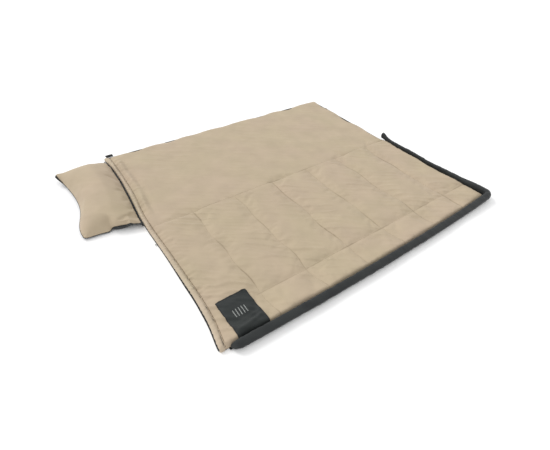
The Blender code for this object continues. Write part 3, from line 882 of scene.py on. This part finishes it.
def tube_section(s, corner, total):
    """Half width, half height and lift of the tube at a distance along it."""
    past = max(0.0, s - corner)
    stand = math.exp(-((s - corner) / 0.17) ** 2)
    foot = 1 / (1 + math.exp(-(s - corner) / 0.02))
    tail = math.exp(-((total - s) / 0.045) ** 2)
    thin = 1 - math.exp(-(past / 0.24) ** 2)
    start = 1 - math.exp(-s / 0.011)
    slow = float(waves(s, 0.0, 111, 0.30, 0.0, 0.1))
    wide = (0.0200 - 0.0095 * thin + 0.0003 * slow) * (0.35 + 0.65 * start)
    tall = (0.0190 + 0.0055 * stand - 0.0045 * thin + 0.0004 * slow) * (0.30 + 0.70 * start)
    return wide + 0.005 * tail, tall + 0.007 * tail, 0.007 * tail, foot


def make_draft_tube():
    """The padded tube along the near edge and round the foot corner, closed at both ends."""
    route = tube_route()
    steps = np.gradient(route, axis=0)
    steps /= np.linalg.norm(steps, axis=1, keepdims=True)
    outward = np.stack((steps[:, 1], -steps[:, 0]), axis=-1)
    run = np.concatenate(([0.0], np.cumsum(np.linalg.norm(np.diff(route, axis=0), axis=1))))
    corner = run[TUBE_STRAIGHT_SPOTS + TUBE_CORNER_SPOTS // 2 - 1]
    count = 24
    rings = []
    for s, spot, out in zip(run, route, outward):
        wide, tall, lift, foot = tube_section(s, corner, run[-1])
        ring = []
        for j in range(count):
            turn = 2 * math.pi * j / count
            side = squared_off(math.cos(turn), 0.8)
            rise = squared_off(math.sin(turn), 0.8)
            slump = -0.30 * wide * (1 + side) * max(0.0, rise) * (1 - 0.7 * foot)
            crease = 0.0005 * float(waves(s, turn * 0.02, 113, 0.05, 0.6, 0.4))
            crease += 0.0005 * float(waves(s, turn * 0.02, 115, 0.020, 0.3, 0.3))
            reach = wide + (wide + crease) * side
            height = TAPE_HIGH.z + 0.003 + tall + lift + (tall + crease) * rise + slump
            ring.append((HEAD_X + spot[0] + out[0] * reach, FOLD_Y + spot[1] + out[1] * reach, height))
        rings.append(ring)
    item = add_tube("draft_tube", rings, TUBE_CLOTH)
    subdivide(item)
    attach(item, "cover")
    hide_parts("draft_tube_sleeve", "draft_tube_fill")


# ---- pocket

def make_pocket(lining):
    """The slate pocket with bound edges, lying on the lining with soft creases."""
    surface = surface_of(lining)
    columns = np.linspace(POCKET_LOW.x, POCKET_HIGH.x, 32)
    rows = np.linspace(POCKET_LOW.y - POCKET_REACH, POCKET_HIGH.y, 40)
    points = np.zeros((len(columns), len(rows), 3))
    for i, x in enumerate(columns):
        for j, y in enumerate(rows):
            z = height_at(surface, x, y, LOFT)
            u = (x - columns[0]) / (columns[-1] - columns[0])
            v = (y - rows[0]) / (rows[-1] - rows[0])
            rim = min(u, 1 - u, v * 1.2) * 8
            puff = 1 - math.exp(-max(0.0, rim))
            bend = 0.0085 * math.exp(-((v - 0.15 - 0.10 * u * u) / 0.030) ** 2)
            bend += 0.0065 * math.exp(-((v - 0.30 - 0.05 * u) / 0.026) ** 2) * u
            points[i, j] = (x, y, z + 0.0012 + 0.0045 * puff + bend * puff)
    heights = points[..., 2]
    heights[1:-1, 1:-1] = (heights[:-2, 1:-1] + heights[2:, 1:-1]
                           + heights[1:-1, :-2] + heights[1:-1, 2:]) / 4
    item = add_grid("inner_pocket", points, POCKET_CLOTH)
    thicken(item, POCKET_CLOTH_THICKNESS, 1.0)
    subdivide(item)
    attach(item, "cover")
    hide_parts("pocket", "pocket_binding")
    bind_pocket(points, item)


def ride_cover(item):
    """Let a row of thread ride on the cover half."""
    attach(item, "cover")


def bind_pocket(points, pocket):
    """Piping round the pocket, rows of thread inside it and a plain motif of short bars."""
    border = [*points[:, 0], *points[-1, :], *points[::-1, -1], *points[0, ::-1]]
    lifted = [(*spot[:2], spot[2] + PIPING_LIFT) for spot in border]
    piping = add_object("pocket_piping", cord_curve("pocket_piping", lifted, PIPING_RADIUS), WELT)
    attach(piping, "cover")

    surface = surface_of(pocket)
    low_x, low_y = POCKET_LOW.x - HEAD_X, POCKET_LOW.y - FOLD_Y
    high_x, high_y = POCKET_HIGH.x - HEAD_X, POCKET_HIGH.y - FOLD_Y
    inset = 0.006
    frame_path = [(low_x + inset, low_y), (low_x + inset, high_y - inset),
                  (high_x - inset, high_y - inset), (high_x - inset, low_y)]
    make_stitches("pocket_stitching", surface, [frame_path], DARK_THREAD, ride_cover)
    middle_x, middle_y = (low_x + high_x) / 2 - 0.006, (low_y + high_y) / 2 + 0.002
    bars = []
    for k in range(5):
        x = middle_x + (k - 2) * MOTIF_STEP
        for shift in (-0.0016, -0.0008, 0.0, 0.0008, 0.0016):
            bars.append([(x + shift, middle_y - MOTIF_REACH), (x + shift, middle_y + MOTIF_REACH)])
    make_stitches("pocket_motif", surface, bars, PALE_THREAD, ride_cover, 0.0022)


# ---- pillow

PILLOW_SEAM_Z = FLAP_LOW.z / 2 + FLAP_HIGH.z / 2
PILLOW_INNER_X = JOINTS["pillow_fold"]["pos_m"][0]
PILLOW_MIDDLE_Y = JOINTS["pillow_fold"]["pos_m"][1]
PILLOW_DEPTH = PILLOW_INNER_X - PILLOW_LOW.x
PILLOW_HEM_WIDTH = PILLOW_HIGH.y - PILLOW_LOW.y
PILLOW_OUTER_WIDTH = 0.634
PILLOW_OUTER_SHIFT = 0.022
PILLOW_PINCH = 0.044
PILLOW_CORNER = 0.026
PILLOW_GAP = 0.010


def pillow_inner_at(y):
    """X of the pillow's seam beside the hem, which follows the hem's curve."""
    return HEAD_X + hem_outer_at(y - FOLD_Y) - PILLOW_GAP


def bend_at_pillow(item):
    """Bake a piece's placement into its mesh."""
    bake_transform(item)


def pillow_plan(u, v):
    """Plan position on the pillow, u from its outer edge to the hem and v along its width."""
    depth = PILLOW_DEPTH - PILLOW_PINCH * (1 - v * v) + 0.030 * near(v, -0.72, 0.38)
    towards_hem = ((1 + u) / 2) ** 2
    width = PILLOW_OUTER_WIDTH + (PILLOW_HEM_WIDTH - PILLOW_OUTER_WIDTH) * towards_hem
    far_lap = 0.018 * np.clip(v, 0, 1) ** 2 * towards_hem
    shift = PILLOW_OUTER_SHIFT * (1 - towards_hem)
    notch = 0.014 * near(u, 0.00, 0.07) * np.clip(-v, 0, 1) ** 8
    corner = PILLOW_CORNER * np.clip(-u, 0, 1) ** 8 * np.abs(v) ** 8 * (1.1 + 0.7 * (v > 0))
    y = PILLOW_MIDDLE_Y + shift + v * width / 2 + notch + far_lap - 0.35 * np.sign(v) * corner
    inner = pillow_inner_at(y)
    return inner - (1 - u) / 2 * (depth + inner - PILLOW_INNER_X) + 0.35 * corner, y


def pillow_lift(u, v):
    """How far the seam is lifted: by the hem on the near side, and at the far outer corner."""
    strip = 0.020 * np.clip((u + 0.02) / 0.10, 0, 1) * np.clip((1.0 - u) / 0.40, 0, 1)
    strip = strip - 0.008 * np.clip(-(u + 0.02) / 0.15, 0, 1)
    curl = 0.036 * near(u, -1.0, 0.26) * near(v, 1.0, 0.16)
    return strip * near(v, -1.0, 0.12) + curl


def make_pillow():
    """The pillow: beige above, dark below, meeting at the seam that the welt follows."""
    columns, rows = 44, 88
    u = np.sin(np.linspace(-math.pi / 2, math.pi / 2, columns + 1))
    v = np.sin(np.linspace(-math.pi / 2, math.pi / 2, rows + 1))
    uu, vv = np.meshgrid(u, v, indexing="ij")
    x, y = pillow_plan(uu, vv)
    seam = PILLOW_SEAM_Z + pillow_lift(uu, vv)
    swell = ((1 - uu ** 2) * (1 - np.abs(vv) ** np.where(vv > 0, 8, 4))) ** 0.62
    swell = swell * (1 - (0.45 - 0.25 * np.clip((vv - 0.3) / 0.5, 0, 1)) * np.clip((uu - 0.2) / 0.8, 0, 1))
    crown = PILLOW_HIGH.z - PILLOW_SEAM_Z - 0.010
    upper = seam + crown * swell
    steep = 2.2 + 14 * near(uu, -1.0, 0.5) * near(vv, 1.0, 0.35) + 6 * near(vv, -1.0, 0.2) * (uu > 0)
    share = np.minimum(1.0, steep * (1 - uu ** 2) * (1 - vv ** 2))
    lower = seam * (1 - share) + 0.0015
    shape = bmesh.new()
    grids = []
    bulge = np.exp(-((1 - uu ** 2) * (1 - vv ** 2) / 0.10))
    corner_roll = 0.013 * near(uu, -1.0, 0.35) * near(vv, 1.0, 0.25) * bulge
    side_roll = 0.010 * near(vv, -1.0, 0.25) * (uu > 0) * bulge
    for heights in (upper, lower):
        grids.append([[None] * (rows + 1) for _ in range(columns + 1)])
        for i in range(columns + 1):
            for j in range(rows + 1):
                edge = i in (0, columns) or j in (0, rows)
                if edge and len(grids) == 2:
                    grids[1][i][j] = grids[0][i][j]
                else:
                    height = seam[i, j] if edge else heights[i, j]
                    under = len(grids) == 2
                    px = x[i, j] - under * corner_roll[i, j]
                    py = y[i, j] - under * (1.2 * corner_roll[i, j] + side_roll[i, j])
                    grids[-1][i][j] = shape.verts.new((px, py, height))
    layer = shape.loops.layers.uv.new("UVMap")
    for level, grid in enumerate(grids):
        for i in range(columns):
            for j in range(rows):
                corners = [grid[i][j], grid[i + 1][j], grid[i + 1][j + 1], grid[i][j + 1]]
                face = shape.faces.new(corners if level == 0 else corners[::-1])
                face.material_index = level
                face.smooth = True
                for loop in face.loops:
                    loop[layer].uv = (loop.vert.co.x, loop.vert.co.y)
    mesh = bpy.data.meshes.new("pillow_cushion")
    shape.to_mesh(mesh)
    shape.free()
    item = add_object("pillow_cushion", mesh, LINING, SHELL)
    points = get_points(item)
    rim = np.flatnonzero(np.abs(points[:, 0] - pillow_inner_at(points[:, 1])) < 0.0008)
    inflate(item, rim, 2.0, 0.030, 18, 0.014)
    points = get_points(item)
    points[:, 2] = np.maximum(points[:, 2], 0.0012)
    set_points(item, points)
    subdivide(item)
    points = get_points(item)
    px, py = points[:, 0], points[:, 1]
    soft = 0.0022 * creases(px, py, 121, 0.11, 0.9, 0.5, 0.4) + 0.0012 * waves(px, py, 123, 0.16, 0.9, 0.8)
    lift = np.clip((points[:, 2] - PILLOW_SEAM_Z) / 0.02, 0, 1)
    points[:, 2] += soft * lift
    points[:, 2] = np.maximum(points[:, 2], 0.0008)
    set_points(item, points)
    bend_at_pillow(item)
    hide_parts("pillow_top", "pillow_bottom", "pillow_fill")
    return item


def make_pillow_welt(pillow):
    """Dark piping that follows the pillow's seam where its two cloths meet."""
    pairs = {}
    for face in pillow.data.polygons:
        for edge in face.edge_keys:
            pairs.setdefault(edge, []).append(face.material_index)
    seam = [edge for edge, sides in pairs.items() if len(sides) == 2 and sides[0] != sides[1]]
    links = {}
    for a, b in seam:
        links.setdefault(a, []).append(b)
        links.setdefault(b, []).append(a)
    start = seam[0][0]
    order = [start, links[start][0]]
    while order[-1] != start:
        order.append(next(k for k in links[order[-1]] if k != order[-2]))
    points = [pillow.matrix_world @ pillow.data.vertices[k].co for k in order[:-1]]
    draft = bpy.data.objects.new("pillow_welt_line", cord_curve("pillow_welt", points, WELT_RADIUS))
    mesh = bpy.data.meshes.new_from_object(draft)
    bpy.data.objects.remove(draft)
    item = add_object("pillow_welt", mesh, WELT)
    bend_at_pillow(item)


def make_flap():
    """The short strip of dark cloth between the pillow's seam and the head hem."""
    ys = np.linspace(PILLOW_LOW.y + 0.006, PILLOW_HIGH.y - 0.006, 120)
    share, y = np.meshgrid(np.linspace(0, 1, 9), ys, indexing="ij")
    first_x = pillow_inner_at(y) - 0.001
    last_x = HEAD_X + 0.004 + hem_outer_at(y - FOLD_Y)
    x = first_x + (last_x - first_x) * share
    dip = 0.005 * np.sin(math.pi * share) + 0.0012 * wave_along(y, 131, 0.03)
    item = add_grid("pillow_flap_cloth", np.stack((x, y, PILLOW_SEAM_Z - dip), axis=-1), SHELL)
    thicken(item, FLAP_THICKNESS, -1.0)
    bake_modifiers(item)
    bend_at_pillow(item)
    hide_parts("pillow_flap")


# ---- small parts

def rounded_copy(node, material, width, body):
    """A copy of a hard CAD piece with its edges rounded."""
    source = frame["nodes"][node]
    mesh = source.data.copy()
    mesh.materials.clear()
    item = add_object(f"{node}_finished", mesh, material)
    shape = bmesh.new()
    shape.from_mesh(mesh)
    bmesh.ops.remove_doubles(shape, verts=shape.verts, dist=0.00001)
    bmesh.ops.dissolve_limit(shape, angle_limit=0.02, verts=shape.verts, edges=shape.edges)
    shape.to_mesh(mesh)
    shape.free()
    bevel = item.modifiers.new("round", "BEVEL")
    bevel.width = width
    bevel.segments = 3
    bevel.limit_method = "ANGLE"
    bake_modifiers(item)
    item.data.polygons.foreach_set("use_smooth", [True] * len(item.data.polygons))
    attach(item, body)
    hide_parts(node)


def make_closure_tab():
    """The closure tab: a soft double webbing that bows up, with its hook pad stitched on top."""
    for node, depth, material in (("closure_tab", TAB_THICKNESS, TAPE),
                                  ("closure_hook_pad", HOOK_PAD_THICKNESS, WELT)):
        source = frame["nodes"][node]
        low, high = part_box(node)
        corners = [source.matrix_world @ vertex.co for vertex in source.data.vertices]
        far_z = max(corner.z for corner in corners if corner.y > high.y - 0.002)
        u, t = np.meshgrid(np.linspace(0, 1, 16), np.linspace(0, 1, 14), indexing="ij")
        x = low.x + TAB_SHIFT + (high.x - low.x) * u
        edge = np.abs(2 * u - 1)
        bow = 0.0020 * np.sin(math.pi * t) - 0.0008 * edge ** 4
        z = high.z + (far_z - high.z) * t ** 4 + bow - 0.004 * (1 - t) ** 3
        y = low.y - TAB_ROOT + (high.y - low.y + TAB_ROOT) * t
        item = add_grid(f"{node}_soft", np.stack((x, y, z), axis=-1), material)
        thicken(item, depth, -1.0)
        subdivide(item)
        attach(item, "closure_tab")
        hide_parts(node)


def finish_cad_nodes():
    """Give the small CAD pieces that stay their cloth, tape, plastic or metal finish."""
    for node, material in (("base_zip_tape", TAPE), ("cover_zip_tape", TAPE), ("base_zip_coil", COIL),
                           ("cover_zip_coil", COIL), ("zip_box", BOX_PLASTIC)):
        mesh = frame["nodes"][node].data
        mesh.materials.clear()
        mesh.materials.append(material)
    for node, material, width, slot, body in (
            ("zip_slider", METAL, 0.0005, "zip_metal", "slider"),
            ("zip_pull", METAL, 0.0003, "zip_metal", "pull"),
            ("base_zip_stop", METAL, 0.0004, "zip_metal", "base"),
            ("cover_zip_stop", METAL, 0.0004, "zip_metal", "cover"),
            ("zip_pin", METAL, 0.0004, "zip_metal", "cover"),
            ("zip_pull_grip", RIBBON, 0.0009, "grip", "pull"),
            ("closure_landing_tab", TAPE, 0.0006, "webbing", "cover"),
            ("head_hang_loop", RIBBON, 0.0006, "grip", "cover"),
            ("foot_hang_loop", TAPE, 0.0006, "webbing", "base")):
        rounded_copy(node, material, width, body)
    make_closure_tab()


# ---- stage

def make_stage():
    """A pale floor, soft lights and the camera."""
    mesh = bpy.data.meshes.new("floor")
    size = 30.0
    corners = [(-size, -size, 0), (size, -size, 0), (size, size, 0), (-size, size, 0)]
    mesh.from_pydata(corners, [], [(0, 1, 2, 3)])
    n = Nodes("floor_white", 0.9)
    n.shader.inputs["Base Color"].default_value = (0.93, 0.93, 0.93, 1)
    floor = add_object("floor", mesh, n.material)
    floor.location.z = -0.0006

    world = bpy.data.worlds.new("studio")
    bpy.context.scene.world = world
    world.use_nodes = True
    sky = world.node_tree.nodes["Background"]
    sky.inputs["Color"].default_value = (1.0, 1.0, 1.0, 1)
    sky.inputs["Strength"].default_value = 0.95

    for name, place, power in SUNS:
        lamp = bpy.data.lights.new(name, "SUN")
        lamp.angle = math.radians(25)
        lamp.energy = power
        item = add_object(name, lamp)
        item.location = place
        item.rotation_euler = Vector(place).to_track_quat("Z", "Y").to_euler()

    camera_data = bpy.data.cameras.new("camera")
    camera_data.sensor_width = 36.0
    camera_data.lens = LENS
    camera_data.clip_end = 100.0
    camera = add_object("camera", camera_data)
    forward = Vector(CAMERA_FORWARD).normalized()
    right = forward.cross(Vector((0, 0, 1))).normalized()
    up = right.cross(forward)
    turned_right = right * math.cos(CAMERA_ROLL) + up * math.sin(CAMERA_ROLL)
    turned_up = up * math.cos(CAMERA_ROLL) - right * math.sin(CAMERA_ROLL)
    axes = Matrix((turned_right, turned_up, -forward)).transposed().to_4x4()
    place = (HEAD_X + CAMERA_FROM_HEAD, FOLD_Y + CAMERA_FROM_FOLD, CAMERA_HEIGHT)
    camera.matrix_world = Matrix.Translation(place) @ axes
    bpy.context.scene.camera = camera
    bpy.context.scene.view_settings.view_transform = "Standard"


make_padding()
quilt_lining = make_lining()
make_shell()
make_hem_cord(quilt_lining, make_hem())
quilt_stitches(quilt_lining)
make_draft_tube()
make_pocket(quilt_lining)
make_pillow_welt(make_pillow())
make_flap()
finish_cad_nodes()
make_stage()
